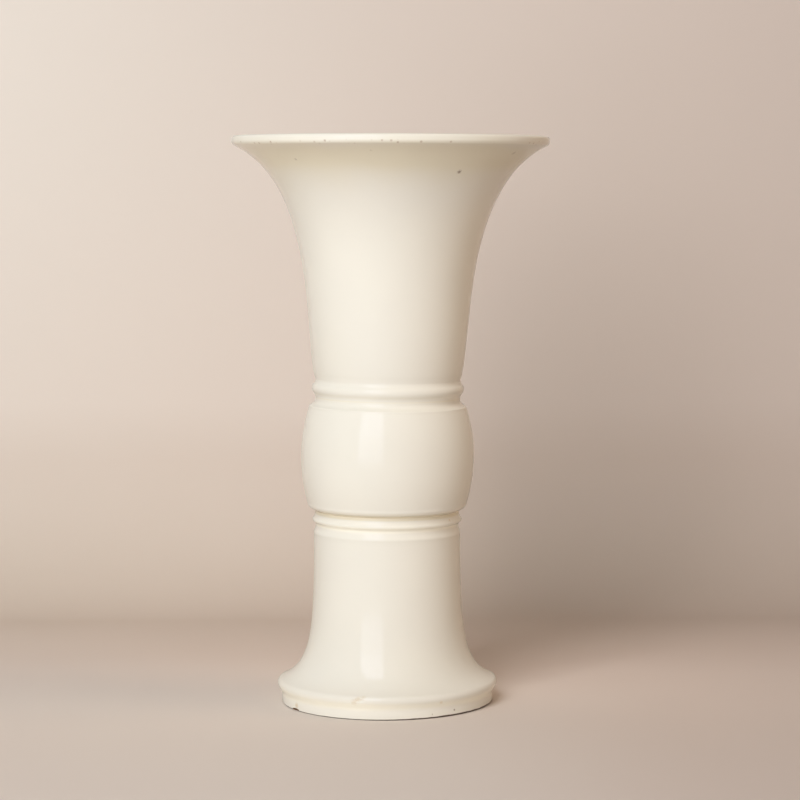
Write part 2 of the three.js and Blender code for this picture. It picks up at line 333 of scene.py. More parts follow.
def foot_profile(foot, floor, joint):
    top = FOOT_HIGH.z
    nose_under = at(foot.nose_radius - foot.nose_under_round, foot.nose_level)
    nose_over = at(foot.nose_radius - foot.nose_round, foot.nose_level)
    nose_arc = [
        *arc(nose_under, foot.nose_under_round, -foot.nose_tuck, 0),
        *arc(nose_over, foot.nose_round, 0, QUARTER_TURN - foot.flare_slope)[1:],
    ]
    crest = at(foot.ridge_radius, top - foot.ridge_above)
    shaft_groove = at(foot.shaft_groove_radius, crest.z - foot.ridge_below)
    joint_groove = at(foot.groove_radius, top)
    edge = at(foot.shaft_radius - foot.shaft_edge_round, shaft_groove.z - foot.shaft_shoulder)
    edge_arc = arc(edge, foot.shaft_edge_round, -foot.shaft_edge_turn / 2, foot.shaft_edge_turn)
    shoulder = sweep(
        edge_arc[-1], leaning(-foot.shaft_edge_turn), foot.shoulder_pull,
        shaft_groove, at(0, 1), foot.shoulder_pull, ROUND_STEPS,
    )
    slope = foot.flare_slope
    flare = sweep(
        nose_arc[-1], at(-math.cos(slope), math.sin(slope)), foot.flare_pull,
        edge_arc[0], at(0, 1), foot.shaft_pull,
    )
    standing_inner = foot.band_radius - foot.band_round - foot.standing_width
    band_edge = at(foot.band_radius - foot.band_round, foot.band_round)
    cove = sweep(
        at(foot.band_radius, foot.band_height), leaning(-foot.band_lean), foot.cove_pull,
        nose_arc[0], leaning(foot.nose_tuck), foot.cove_pull, 2 * ROUND_STEPS,
    )
    halfway_down = at(math.sqrt(0.5), -math.sqrt(0.5))
    hollow = sweep(
        at(joint.bore_radius, DISC_HIGH.z + floor.hollow_flare), at(0, -1), floor.hollow_flare / 2,
        at(floor.opening_radius, DISC_HIGH.z), halfway_down, floor.hollow_flare / 4,
    )
    return [
        at(standing_inner, 0),
        *arc(band_edge, foot.band_round, -QUARTER_TURN, 0),
        *cove,
        *nose_arc[1:],
        *flare[1:],
        *edge_arc[1:],
        *shoulder[1:-1],
        *ridge(shaft_groove, crest, foot.ridge_round, joint_groove),
        at(joint.bore_radius, top),
        *hollow,
        at(floor.recess_radius, DISC_HIGH.z),
        at(floor.recess_radius, DISC_LOW.z - floor.fillet_height),
        at(standing_inner, 0),
    ]


def belly_profile(belly, neck, joint):
    bottom, top = BELLY_LOW.z, BELLY_HIGH.z
    rise = belly.underside / math.tan(belly.tuck_turn)
    tuck = at(belly.lower_radius - belly.tuck, bottom + rise + belly.tuck * math.sin(belly.tuck_turn))
    tuck_arc = arc(tuck, belly.tuck, -belly.tuck_turn, 0)
    edge_level = top - belly.collar_height - belly.edge_round
    edge = at(belly.upper_radius - belly.edge_round, edge_level)
    edge_arc = arc(edge, belly.edge_round, 0, belly.edge_turn)
    collar = sweep(
        edge_arc[-1], leaning(-belly.edge_turn), belly.collar_spread,
        at(neck.groove_radius, top), at(0, 1), belly.collar_height / 2, ROUND_STEPS,
    )
    profile = [
        at(tuck_arc[0].x - belly.underside, bottom),
        *tuck_arc,
        *bulge(tuck_arc[-1], belly.crest_radius, edge_arc[0])[1:],
        *edge_arc[1:],
        *collar[1:],
        *bulge(at(joint.bore_radius, top), belly.crest_radius - belly.wall, at(joint.bore_radius, bottom)),
    ]
    return [*profile, profile[0]]


def neck_profile(neck, joint):
    bottom, top = NECK_LOW.z, NECK_HIGH.z
    crest = at(neck.ridge_radius, bottom + neck.ridge_below)
    joint_groove = at(neck.groove_radius, bottom)
    neck_groove = at(neck.neck_groove_radius, crest.z + neck.ridge_above)
    neck_foot = at(neck.foot_radius, neck_groove.z + neck.shoulder)
    lip = at(neck.lip_radius - neck.lip_round, top - neck.lip_round)
    under = at(neck.lip_radius - neck.lip_under_round, lip.z - neck.lip_face)
    across = at(-math.cos(neck.lip_slope), math.sin(neck.lip_slope))
    lip_wall = neck.lip_round + neck.lip_under_round + (lip - under).dot(across)
    lip_arc = [
        *arc(under, neck.lip_under_round, -neck.lip_slope, 0),
        *arc(lip, neck.lip_round, 0, HALF_TURN - neck.lip_slope, LIP_STEPS),
    ]
    trumpet = sweep(
        neck_foot, leaning(neck.slope), neck.pull,
        lip_arc[0], leaning(neck.lip_slope), neck.lip_pull,
    )
    inside = inner_face(trumpet, neck.foot_radius - joint.bore_radius, lip_wall)[::-1]
    profile = [
        *ridge(joint_groove, crest, neck.ridge_round, neck_groove),
        *trumpet,
        *lip_arc[1:],
        *inside[1:],
        at(joint.bore_radius, bottom),
    ]
    return [*profile, profile[0]]


def seam_profile(bottom, top, groove_radius, joint):
    """Slip between two flat faces, flush with the groove outside, with a low bead inside."""
    middle = at(joint.bore_radius, (bottom + top) / 2)
    outside = [at(groove_radius, bottom), at(groove_radius, top)]
    return [*outside, *arc(middle, joint.bead_round, QUARTER_TURN, 3 * QUARTER_TURN), outside[0]]


def disc_profile(floor):
    low, high = DISC_LOW.z, DISC_HIGH.z
    inside = sweep(
        at(floor.opening_radius, high), at(-1, 0), floor.opening_radius / 3,
        at(0, high - floor.dish), at(-1, 0), floor.opening_radius / 3, ROUND_STEPS,
    )
    return [at(0, low), at(DISC_HIGH.x, low), at(DISC_HIGH.x, high), *inside]


def fillet_profile(floor):
    outer = floor.recess_radius
    top = DISC_LOW.z
    face = sweep(
        at(outer, top - floor.fillet_height), at(0, 1), floor.fillet_height / 2,
        at(DISC_HIGH.x - floor.fillet_width, top), at(-1, 0), floor.fillet_width / 2, ROUND_STEPS,
    )
    return [at(outer, top), *face[::-1], at(outer, top)]


# Modelling

def start_piece(name):
    """A new mesh object that is alone in the selection, opened in edit mode as one vertex at the origin."""
    bpy.ops.object.select_all(action="DESELECT")
    bpy.ops.mesh.primitive_plane_add()
    piece = bpy.context.object
    piece.name = name
    piece.data.name = name
    bpy.ops.object.mode_set(mode="EDIT")
    bpy.ops.mesh.select_all(action="SELECT")
    bpy.ops.mesh.merge(type="CENTER")
    return piece


def spin_piece(name, profile):
    """Draws a profile vertex by vertex and spins it about the axis of the vase."""
    piece = start_piece(name)
    bpy.ops.transform.translate(value=profile[0])
    for here, there in zip(profile, profile[1:]):
        bpy.ops.mesh.extrude_vertices_move(TRANSFORM_OT_translate={"value": there - here})
    bpy.ops.mesh.select_all(action="SELECT")
    bpy.ops.mesh.remove_doubles(threshold=MERGE_DISTANCE)
    bpy.ops.mesh.spin(steps=SPIN_STEPS, angle=FULL_TURN, center=(0, 0, 0), axis=(0, 0, 1))
    bpy.ops.mesh.select_all(action="SELECT")
    bpy.ops.mesh.remove_doubles(threshold=MERGE_DISTANCE)
    bpy.ops.mesh.normals_make_consistent(inside=False)
    bpy.ops.object.mode_set(mode="OBJECT")
    return piece


def apply_modifier(piece, kind, **settings):
    """Adds a modifier to the active piece, sets it and applies it."""
    bpy.ops.object.modifier_add(type=kind)
    modifier = piece.modifiers[-1]
    for setting, value in settings.items():
        setattr(modifier, setting, value)
    bpy.ops.object.modifier_apply(modifier=modifier.name)


def make_active(piece):
    bpy.ops.object.select_all(action="DESELECT")
    piece.select_set(True)
    bpy.context.view_layer.objects.active = piece


# A joint's level, how far its middle stands to the right of the axis, and how far it leans to the right.
Joint = namedtuple("Joint", "level shift lean")


def joints(joint):
    """The standing plane, the two luted joints and the rim, as they stand on each other."""
    lower_shift = FOOT_HIGH.z * math.tan(joint.lower_lean / 2)
    belly_lean = (joint.lower_lean + joint.upper_lean) / 2
    upper_shift = lower_shift + (NECK_LOW.z - FOOT_HIGH.z) * math.tan(belly_lean)
    rim_shift = upper_shift + (NECK_HIGH.z - NECK_LOW.z) * math.tan(joint.upper_lean)
    return (
        Joint(0, 0, 0),
        Joint(FOOT_HIGH.z, lower_shift, joint.lower_lean),
        Joint(NECK_LOW.z, upper_shift, joint.upper_lean),
        Joint(NECK_HIGH.z, rim_shift, joint.rim_lean),
    )


def leaned(point, joint):
    """A point carried along as a joint shifts and leans."""
    turn = Matrix.Rotation(joint.lean, 3, "Y")
    middle = Vector((0, 0, joint.level))
    shift = Vector((joint.shift, 0, 0))
    return turn @ (point - middle) + middle + shift


def between(point, lower, upper):
    """A point of a section carried along by the joints below and above it."""
    part = (point.z - lower.level) / (upper.level - lower.level)
    resting = Vector((point.x, point.y, lower.level))
    lifted = Vector((point.x, point.y, upper.level))
    return leaned(resting, lower).lerp(leaned(lifted, upper), part)


CAGE_WIDTH = 2.5 * NECK_HIGH.x


def lean_piece(piece, lower, upper):
    """Leans a piece with the joints below and above it, in a cage of eight points."""
    bpy.ops.object.select_all(action="DESELECT")
    bpy.ops.object.add(type="LATTICE", location=(0, 0, (lower.level + upper.level) / 2))
    cage = bpy.context.object
    cage.scale = (CAGE_WIDTH, CAGE_WIDTH, upper.level - lower.level)
    for axis in "uvw":
        setattr(cage.data, f"interpolation_type_{axis}", "KEY_LINEAR")
    bpy.context.view_layer.update()
    placed = cage.matrix_world
    for corner in cage.data.points:
        corner.co_deform = placed.inverted() @ between(placed @ corner.co, lower, upper)
    make_active(piece)
    apply_modifier(piece, "LATTICE", object=cage)
    bpy.data.objects.remove(cage)


def loosen_wall(piece, bottom, top, amount=0.0005, fade=0.012):
    """Gives a thrown wall the slight unevenness of the hand, fading to nothing at its two ends."""
    group = piece.vertex_groups.new(name="free_wall")
    for vertex in piece.data.vertices:
        reach = min(vertex.co.z - bottom, top - vertex.co.z) / fade
        group.add([vertex.index], max(0, min(1, reach)), "REPLACE")
    texture = bpy.data.textures.new("hand_of_the_thrower", "CLOUDS")
    texture.noise_scale = 0.055
    texture.noise_depth = 1
    make_active(piece)
    apply_modifier(
        piece, "DISPLACE", texture=texture, texture_coords="LOCAL", strength=amount, mid_level=0.5,
        vertex_group=group.name,
    )
    piece.vertex_groups.clear()


# A ring round the vase where the glaze lies deeper than usual, or, if the amount is below zero, where
# painted glow lightens a hollow.
Ring = namedtuple("Ring", "level width amount")

USUAL_DEPTH = 0.5
FULL_GLOW, DEEPEST = -1, 3


def ring_share(ring, level):
    """How much of a ring's amount reaches a level."""
    return ring.amount * math.exp(-((level - ring.level) / ring.width) ** 2)


def coat_with_painted_light(piece, *rings):
    """Writes the glaze's depth at each vertex, with painted light: zero is full painted glow, half usual,
    one gathered glaze, two thick glaze lightened by painted glow.
    """
    depth = piece.data.attributes.new("glaze_depth_and_painted_light", "FLOAT", "POINT")
    for vertex, value in zip(piece.data.vertices, depth.data):
        outside = vertex.normal.x * vertex.co.x + vertex.normal.y * vertex.co.y > 0
        change = sum(ring_share(ring, vertex.co.z) for ring in rings)
        value.value = USUAL_DEPTH * (1 + outside * max(FULL_GLOW, min(DEEPEST, change)))


def dress(piece, *materials):
    for material in materials:
        piece.data.materials.append(material)


# Places of a piece's materials.
GLAZED, BARE, CHIPPED = 0, 1, 2

# A flake lost from the outside of a piece: the azimuth and level of its middle, half its size along, up and
# inward, how far in it goes, how rough its face is, and which of the piece's materials that face has.
Flake = namedtuple("Flake", "azimuth level along up inward depth rough material")

FOOT_FLAKES = (
    Flake(
        azimuth=-58.3, level=0.0002, along=0.0032, up=0.001, inward=0.0014, depth=0.0008, rough=0.12,
        material=CHIPPED,
    ),
    Flake(
        azimuth=-14.2, level=0.0092, along=0.0046, up=0.0019, inward=0.001, depth=0.00025, rough=0.01,
        material=GLAZED,
    ),
)


def strike_flake(piece, flake, profile):
    """Breaks a flake out of the outside of a piece."""
    bpy.ops.object.select_all(action="DESELECT")
    bpy.ops.mesh.primitive_ico_sphere_add(subdivisions=4, radius=1)
    breaker = bpy.context.object
    bpy.ops.object.mode_set(mode="EDIT")
    bpy.ops.transform.vertex_random(offset=flake.rough, seed=1)
    bpy.ops.object.mode_set(mode="OBJECT")
    bpy.ops.object.shade_smooth()
    breaker.scale = (flake.along, flake.inward, flake.up)
    breaker.rotation_euler.z = math.radians(flake.azimuth)
    radius = radius_at(profile, flake.level) + flake.inward - flake.depth
    breaker.location = round_about(flake.azimuth, radius, flake.level)
    dress(breaker, *piece.data.materials)
    paint_faces(breaker, flake.material, lambda middle: True)
    make_active(piece)
    apply_modifier(piece, "BOOLEAN", object=breaker, operation="DIFFERENCE", solver="EXACT")
    bpy.data.objects.remove(breaker)


def finish_piece(piece, node):
    """Smooths a piece and puts it in the place of its node."""
    make_active(piece)
    bpy.ops.object.shade_smooth_by_angle(angle=SMOOTH_ANGLE)
    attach(piece, "root")
    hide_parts(node)


def paint_faces(piece, index, test):
    """Gives a material of the piece to the faces whose middle passes a test."""
    for face in piece.data.polygons:
        if test(face.center):
            face.material_index = index


# Finishes

def add_node(tree, kind, **settings):
    node = tree.nodes.new(kind)
    for setting, value in settings.items():
        setattr(node, setting, value)
    return node


def set_inputs(node, **values):
    """Sets a node's input sockets; an underscore stands for a space in a socket's name."""
    for label, value in values.items():
        node.inputs[label.replace("_", " ")].default_value = value
    return node


def opaque(rgb):
    return (*rgb, 1)


def new_group(name, inputs, outputs):
    """A shader node group with named sockets; each input is a name, a socket kind and a default."""
    tree = bpy.data.node_groups.new(name, "ShaderNodeTree")
    for label, kind, default in inputs:
        socket = tree.interface.new_socket(label, in_out="INPUT", socket_type=kind)
        socket.default_value = default
    for label, kind in outputs:
        tree.interface.new_socket(label, in_out="OUTPUT", socket_type=kind)
    return tree, tree.nodes.new("NodeGroupInput"), tree.nodes.new("NodeGroupOutput")


def use_group(tree, group):
    node = tree.nodes.new("ShaderNodeGroup")
    node.node_tree = group
    return node


def feed(tree, socket, given):
    """Links an input to an output, or sets it to a number or a colour."""
    if isinstance(given, bpy.types.NodeSocket):
        tree.links.new(given, socket)
    else:
        socket.default_value = opaque(given) if socket.type == "RGBA" else given


def math_node(tree, operation, *operands):
    """A Math node; each operand is a socket or a number."""
    node = add_node(tree, "ShaderNodeMath", operation=operation)
    for socket, operand in zip(node.inputs, operands):
        feed(tree, socket, operand)
    return node.outputs["Value"]


def mix_colours(tree, factor, first, second):
    """A Mix node for colours; the factor is a socket and each colour a socket or a value."""
    node = add_node(tree, "ShaderNodeMix", data_type="RGBA")
    tree.links.new(factor, node.inputs["Factor"])
    feed(tree, node.inputs[6], first)
    feed(tree, node.inputs[7], second)
    return node.outputs[2]


def mix_surfaces(tree, factor, first, second, output):
    """Shows a mix of two shaders at an output node."""
    mixed = add_node(tree, "ShaderNodeMixShader")
    for socket, given in zip(mixed.inputs, (factor, first, second)):
        tree.links.new(given, socket)
    tree.links.new(mixed.outputs["Shader"], tree.nodes[output].inputs["Surface"])


def object_place(tree):
    """The object coordinates, as a vector socket."""
    return add_node(tree, "ShaderNodeTexCoord").outputs["Object"]


def object_parts(tree):
    """The X, Y and Z of the object coordinates, as sockets by name."""
    parts = add_node(tree, "ShaderNodeSeparateXYZ")
    tree.links.new(object_place(tree), parts.inputs["Vector"])
    return parts.outputs


def object_noise(tree, scale, detail, stretch=(1, 1, 1)):
    """Noise on object coordinates, stretched along the axes."""
    mapping = set_inputs(add_node(tree, "ShaderNodeMapping"), Scale=stretch)
    noise = set_inputs(add_node(tree, "ShaderNodeTexNoise"), Scale=scale, Detail=detail)
    tree.links.new(object_place(tree), mapping.inputs["Vector"])
    tree.links.new(mapping.outputs["Vector"], noise.inputs["Vector"])
    return noise.outputs["Fac"]


def fit_range(tree, value, low, high, start, end, smooth=True):
    """Carries a value from the range low to high over to the range start to end."""
    node = add_node(tree, "ShaderNodeMapRange", interpolation_type="SMOOTHSTEP" if smooth else "LINEAR")
    tree.links.new(value, node.inputs["Value"])
    set_inputs(node, From_Min=low, From_Max=high, To_Min=start, To_Max=end)
    return node.outputs["Result"]


def turning_marks_group():
    """Fine rings left by turning, and the slight orange skin of the surface, as a height."""
    tree, _, out = new_group("Turning Marks", [], [("Height", "NodeSocketFloat")])
    broad = object_noise(tree, scale=60, detail=2, stretch=(0.06, 0.06, 1))
    fine = object_noise(tree, scale=420, detail=2, stretch=(0.02, 0.02, 1))
    skin = object_noise(tree, scale=260, detail=1)
    rings = math_node(tree, "MULTIPLY_ADD", broad, 2, fine)
    height = math_node(tree, "MULTIPLY_ADD", skin, 0.5, rings)
    tree.links.new(height, out.inputs["Height"])
    return tree


# The layers of the glaze by depth: painted glow, cream, gathered glaze that also serves as painted shade,
# and thick glaze lightened by painted glow.
GLAZE_LAYERS = ("Painted_glow", "Cream", "Pooled_and_painted_shade", "Deep_and_glow")
WHITE = (1, 1, 1)


def glaze_and_painted_light_group():
    """Colour and roughness of a glaze: cream, a pale painted glow below the usual depth, tan where
    gathered, and a warm, lighter painted glow on the glaze gathered thickest.
    """
    tree, given, out = new_group(
        "Glaze Coat",
        [
            ("Depth", "NodeSocketFloat", USUAL_DEPTH),
            *((layer, "NodeSocketColor", opaque(WHITE)) for layer in GLAZE_LAYERS),
        ],
        [("Color", "NodeSocketColor"), ("Roughness", "NodeSocketFloat")],
    )
    cloud = object_noise(tree, scale=14, detail=2)
    drift = fit_range(tree, cloud, 0.3, 0.7, -0.10, 0.10)
    depth = math_node(tree, "ADD", given.outputs["Depth"], drift)
    glow_share = fit_range(tree, depth, USUAL_DEPTH, 0, 0, 1)
    pooling_and_painted_shade = fit_range(tree, depth, USUAL_DEPTH, 1, 0, 1)
    pale = mix_colours(tree, glow_share, given.outputs["Cream"], given.outputs["Painted_glow"])
    full = mix_colours(tree, pooling_and_painted_shade, pale, given.outputs["Pooled_and_painted_shade"])
    deep_glow_share = fit_range(tree, depth, 1, 2, 0, 1)
    tree.links.new(mix_colours(tree, deep_glow_share, full, given.outputs["Deep_and_glow"]), out.inputs["Color"])
    sheen = object_noise(tree, scale=45, detail=3)
    tree.links.new(fit_range(tree, sheen, 0.3, 0.7, 0.05, 0.09), out.inputs["Roughness"])
    return tree


def kiln_speck_group():
    """A small ragged spot on the surface about a centre, as a mask."""
    tree, given, out = new_group(
        "Kiln Speck",
        [
            ("Centre", "NodeSocketVector", (0, 0, 0)),
            ("Radius", "NodeSocketFloat", 0.0005),
        ],
        [("Mask", "NodeSocketFloat")],
    )
    away = add_node(tree, "ShaderNodeVectorMath", operation="DISTANCE")
    tree.links.new(object_place(tree), away.inputs[0])
    tree.links.new(given.outputs["Centre"], away.inputs[1])
    ratio = math_node(tree, "DIVIDE", away.outputs["Value"], given.outputs["Radius"])
    wander = object_noise(tree, scale=1600, detail=2)
    ragged = fit_range(tree, wander, 0.3, 0.7, -0.35, 0.35, smooth=False)
    edge = math_node(tree, "ADD", ratio, ragged)
    tree.links.new(fit_range(tree, edge, 1.4, 0.1, 0, 1), out.inputs["Mask"])
    return tree


# A spot in the glaze: its name, azimuth from the front to the right, level, radius, finish and strength.
Spot = namedtuple("Spot", "name azimuth level radius finish strength")

NECK_SPOTS = (
    Spot("iron_speck", 32.6, 0.2382, 0.0010, "speck", 0.75),
    Spot("left_speck", -42.2, 0.2434, 0.0007, "speck", 0.30),
    Spot("middle_speck", -7.1, 0.2471, 0.0006, "speck", 0.22),
    Spot("right_speck", 57.0, 0.2464, 0.0011, "rust", 0.28),
)

FOOT_SPOTS = (
    Spot("ridge_fleck", 57.8, 0.0842, 0.0006, "stain", 0.6),
    Spot("nick_stain_low", -16.8, 0.0083, 0.0014, "stain", 0.36),
    Spot("nick_stain_middle", -14.7, 0.0095, 0.0014, "stain", 0.36),
    Spot("nick_stain_high", -12.2, 0.0103, 0.0012, "stain", 0.25),
    Spot("chip_stain", -57.5, 0.0024, 0.0014, "stain", 0.5),
    Spot("right_pinhole", 38.5, 0.0025, 0.0005, "speck", 0.8),
    Spot("front_pinhole", 24.7, 0.0018, 0.0005, "speck", 0.35),
    Spot("band_stain", 28.9, 0.0070, 0.0008, "stain", 0.4),
)


def round_about(azimuth, radius, level):
    """A place on the vase, by its azimuth in degrees from the front to the right."""
    turn = math.radians(azimuth)
    return Vector((radius * math.sin(turn), -radius * math.cos(turn), level))


def spot_places(scene):
    """Each spot of the glaze with its place on the leaning vase."""
    standing, lower, upper, rim = joints(scene.gu_joint)
    neck = neck_profile(scene.gu_neck, scene.gu_joint)
    foot = foot_profile(scene.gu_foot, scene.gu_floor, scene.gu_joint)
    sections = ((NECK_SPOTS, neck, upper, rim), (FOOT_SPOTS, foot, standing, lower))
    for spots, profile, below, above in sections:
        for spot in spots:
            place = round_about(spot.azimuth, radius_at(profile, spot.level), spot.level)
            yield spot, between(place, below, above)


def principled(name, **values):
    """A new material's tree and its Principled BSDF."""
    material = bpy.data.materials.new(name)
    material.use_nodes = True
    shader = material.node_tree.nodes["Principled BSDF"]
    set_inputs(shader, **values)
    return material, material.node_tree, shader


def add_bump(tree, shader, height, distance):
    bump = set_inputs(add_node(tree, "ShaderNodeBump"), Distance=distance)
    tree.links.new(height, bump.inputs["Height"])
    tree.links.new(bump.outputs["Normal"], shader.inputs["Normal"])


def lip_specks(tree, neck, rim):
    """Brown pin specks along the lower edge of the lip, as a mask."""
    grain = set_inputs(add_node(tree, "ShaderNodeTexVoronoi"), Scale=430)
    crowd = object_noise(tree, scale=90, detail=2)
    tree.links.new(object_place(tree), grain.inputs["Vector"])
    dots = fit_range(tree, grain.outputs["Distance"], 0.34, 0.1, 0, 1)
    some = fit_range(tree, crowd, 0.42, 0.56, 0, 1)
    parts = object_parts(tree)
    drop = math_node(tree, "MULTIPLY", parts["X"], math.tan(rim.lean))
    level = math_node(tree, "ADD", parts["Z"], drop)
    edge_level = rim.level - neck.lip_round - neck.lip_face - neck.lip_under_round / 2
    away = math_node(tree, "ABSOLUTE", math_node(tree, "SUBTRACT", level, edge_level))
    near = fit_range(tree, away, 0.0012, 0.0005, 0, 1)
    return math_node(tree, "MULTIPLY", math_node(tree, "MULTIPLY", dots, some), near)


def contact_shadow_and_dirt_mask(tree):
    """Painted contact shadow along the lower edge of the foot, thickest at the shaded right, with some old
    grime, as a mask.
    """
    parts = object_parts(tree)
    left, right = -0.01, 0.03
    thin_line, thick_line = 0.00035, 0.0008
    height = fit_range(tree, parts["X"], left, right, thin_line, thick_line)
    wander = object_noise(tree, scale=220, detail=2)
    ragged = fit_range(tree, wander, 0.3, 0.7, 0.85, 1.15, smooth=False)
    ratio = math_node(tree, "DIVIDE", parts["Z"], math_node(tree, "MULTIPLY", height, ragged))
    return fit_range(tree, ratio, 1.3, 0.7, 0, 1)


PIN_STRENGTH = 0.5
GLAZE_BUMP = 0.000018
BARE_BUMP = 0.00015


def cream_glaze(scene, groups):
    """The glaze of the whole vase, with its specks, its stains, and a painted contact shadow with some old
    grime along its lower edge.
    """
    finish = scene.gu_glaze
    material, tree, shader = principled(
        "cream_glaze", IOR=1.5, Specular_IOR_Level=0.17, Specular_Tint=opaque((0.72, 0.79, 1)),
    )
    depth = add_node(tree, "ShaderNodeAttribute", attribute_name="glaze_depth_and_painted_light")
    glaze = use_group(tree, groups["glaze"])
    for layer in GLAZE_LAYERS:
        feed(tree, glaze.inputs[layer], getattr(finish, layer.lower()))
    tree.links.new(depth.outputs["Fac"], glaze.inputs["Depth"])
    colour_now = glaze.outputs["Color"]
    for spot, place in spot_places(scene):
        speck = use_group(tree, groups["speck"])
        speck.label = spot.name
        set_inputs(speck, Centre=place, Radius=spot.radius)
        faded = math_node(tree, "MULTIPLY", speck.outputs["Mask"], spot.strength)
        colour_now = mix_colours(tree, faded, colour_now, getattr(finish, spot.finish))
    rim = joints(scene.gu_joint)[-1]
    pins = math_node(tree, "MULTIPLY", lip_specks(tree, scene.gu_neck, rim), PIN_STRENGTH)
    colour_now = mix_colours(tree, pins, colour_now, finish.pin)
    # Painted contact shadow, with some old grime, along the standing edge.
    colour_now = mix_colours(tree, contact_shadow_and_dirt_mask(tree), colour_now, finish.contact_shadow_and_dirt)
    tree.links.new(colour_now, shader.inputs["Base Color"])
    tree.links.new(glaze.outputs["Roughness"], shader.inputs["Roughness"])
    marks = use_group(tree, groups["marks"])
    add_bump(tree, shader, marks.outputs["Height"], GLAZE_BUMP)
    return material


def bare_body(name, rgb, groups, dark):
    """A matt fired surface, with a mottled tone and turning marks."""
    material, tree, shader = principled(name)
    blotch = fit_range(tree, object_noise(tree, scale=120, detail=4), 0.35, 0.68, 0, 1)
    darker = tuple(channel * dark for channel in rgb)
    tree.links.new(mix_colours(tree, blotch, rgb, darker), shader.inputs["Base Color"])
    grain = fit_range(tree, object_noise(tree, scale=900, detail=2), 0.3, 0.7, 0.7, 0.9)
    tree.links.new(grain, shader.inputs["Roughness"])
    marks = use_group(tree, groups["marks"])
    add_bump(tree, shader, marks.outputs["Height"], BARE_BUMP)
    return material


def finishes(scene):
    """The vase's materials, made once and then found by name."""
    if "cream_glaze" not in bpy.data.materials:
        groups = {"marks": turning_marks_group(), "glaze": glaze_and_painted_light_group(), "speck": kiln_speck_group()}
        finish = scene.gu_glaze
        cream_glaze(scene, groups)
        bare_body("bare_biscuit", finish.biscuit, groups, dark=0.86)
        bare_body("fired_slip", finish.slip, groups, dark=0.9)
        bare_body("dirty_chip", finish.rust, groups, dark=0.4)
    return bpy.data.materials


# Operators

class GUVASE_OT_throw_foot(Operator):
    """Spin the spreading foot, chip its lower edge and leave its standing ring bare"""
    bl_idname = "gu_vase.throw_foot"
    bl_label = "Throw Foot"

    def execute(self, context):
        scene = context.scene
        foot = scene.gu_foot
        standing, lower, _, _ = joints(scene.gu_joint)
        profile = foot_profile(foot, scene.gu_floor, scene.gu_joint)
        piece = spin_piece("foot", profile)
        loosen_wall(piece, 0, FOOT_HIGH.z)
        looks = finishes(scene)
        dress(piece, looks["cream_glaze"], looks["bare_biscuit"], looks["dirty_chip"])
        ring_inside = foot.band_radius - foot.band_round - foot.standing_width + MERGE_DISTANCE
        ring_level = foot.band_round / 20
        paint_faces(
            piece, BARE,
            lambda middle: middle.z < ring_level
            or (middle.z < DISC_HIGH.z and math.hypot(middle.x, middle.y) < ring_inside),
        )
        for flake in FOOT_FLAKES:
            strike_flake(piece, flake, profile)
        # Glaze gathers in the joint groove with a little painted glow; painted glow lightens the shaded
        # groove under the ridge and the shaded cove under the nose.
        under_ridge = FOOT_HIGH.z - foot.ridge_above - 0.6 * foot.ridge_below
        under_nose = (foot.nose_level + foot.band_height) / 2
        coat_with_painted_light(
            piece,
            Ring(FOOT_HIGH.z, width=0.0006, amount=1.4),
            Ring(under_ridge, width=0.0011, amount=-1),
            Ring(under_nose, width=0.002, amount=-1),
        )
        lean_piece(piece, standing, lower)
        finish_piece(piece, "foot_section")
        return {"FINISHED"}


class GUVASE_OT_throw_belly(Operator):
    """Spin the barrel in the middle of the vase"""
    bl_idname = "gu_vase.throw_belly"
    bl_label = "Throw Belly"

    def execute(self, context):
        scene = context.scene
        belly = scene.gu_belly
        _, lower, upper, _ = joints(scene.gu_joint)
        piece = spin_piece("belly", belly_profile(belly, scene.gu_neck, scene.gu_joint))
        loosen_wall(piece, BELLY_LOW.z, BELLY_HIGH.z)
        # Thick glaze with warm painted glow in the joint groove, and painted glow lightening the shaded
        # tuck of the lower edge.
        lower_edge = BELLY_LOW.z + 0.6 * belly.tuck
        coat_with_painted_light(
            piece,
            Ring(BELLY_LOW.z, width=0.001, amount=3),
            Ring(lower_edge, width=0.0008, amount=-0.5),
        )
        lean_piece(piece, lower, upper)
        dress(piece, finishes(scene)["cream_glaze"])
        finish_piece(piece, "belly_section")
        return {"FINISHED"}


class GUVASE_OT_throw_neck(Operator):
    """Spin the trumpet neck with its ridge and its plain lip"""
    bl_idname = "gu_vase.throw_neck"
    bl_label = "Throw Neck"

    def execute(self, context):
        scene = context.scene
        neck = scene.gu_neck
        _, _, upper, rim = joints(scene.gu_joint)
        piece = spin_piece("neck", neck_profile(neck, scene.gu_joint))
        loosen_wall(piece, NECK_LOW.z, NECK_HIGH.z)
        # Some gathered glaze in the joint groove; painted glow lightens the shaded underside of the ridge;
        # gathered glaze with painted shade darkens and warms the wall under the lip, fading downwards.
        under_ridge = NECK_LOW.z + 0.5 * neck.ridge_below
        under_lip = NECK_HIGH.z - 0.009
        under_lip_shade_fade = NECK_HIGH.z - 0.016
        coat_with_painted_light(
            piece,
            Ring(NECK_LOW.z, width=0.0008, amount=0.5),
            Ring(under_ridge, width=0.0012, amount=-0.4),
            Ring(under_lip, width=0.0055, amount=0.85),
            Ring(under_lip_shade_fade, width=0.01, amount=0.3),
        )
        lean_piece(piece, upper, rim)
        dress(piece, finishes(scene)["cream_glaze"])
        finish_piece(piece, "neck_section")
        return {"FINISHED"}


# How far the bare slip shows outside the bore.
SLIP_REACH = 0.002


